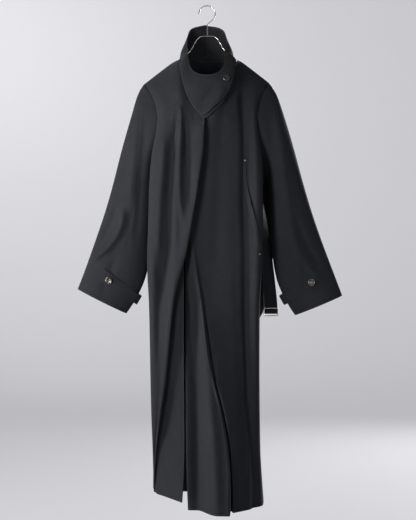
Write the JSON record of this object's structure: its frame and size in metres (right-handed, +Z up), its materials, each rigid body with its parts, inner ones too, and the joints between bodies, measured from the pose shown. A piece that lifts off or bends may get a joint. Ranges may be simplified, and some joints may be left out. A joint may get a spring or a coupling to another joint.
{
  "type": "coat on a hanger",
  "caption": "Long dark wool wrap coat with a tall buttoned funnel collar, wide cuffs and a hanging belt, on a thin wire hanger.",
  "frame": {"origin": "the inside top of the hanger's hook, where a rail carries it", "axes": "+Z up, +X to the wearer's left, +Y to the wearer's back; the front faces -Y"},
  "size_m": [0.742, 0.331, 1.3882],
  "materials": {
    "wool": "smooth dark wool with a soft nap",
    "button": "polished dark horn",
    "trim_metal": "polished",
    "hanger_metal": "satin pale metal wire"
  },
  "bodies": {
    "root": {"back_panel": "wool", "right_front": "wool", "left_front": "wool", "right_sleeve": "wool", "left_sleeve": "wool", "collar_right": "wool", "collar_left": "wool", "left_pocket_welt": "wool", "left_pocket_tack_top": "trim_metal", "left_pocket_tack_bottom": "trim_metal", "right_cuff_tab": "wool", "right_cuff_button": "button", "left_cuff_tab": "wool", "left_cuff_button": "button", "collar_button": "button", "belt": "wool", "belt_loop_right": "wool", "belt_loop_left": "wool", "belt_buckle": "trim_metal", "belt_buckle_bar": "trim_metal", "hanger_hook": "hanger_metal", "hanger_arms": "hanger_metal"}
  },
  "joints": []
}
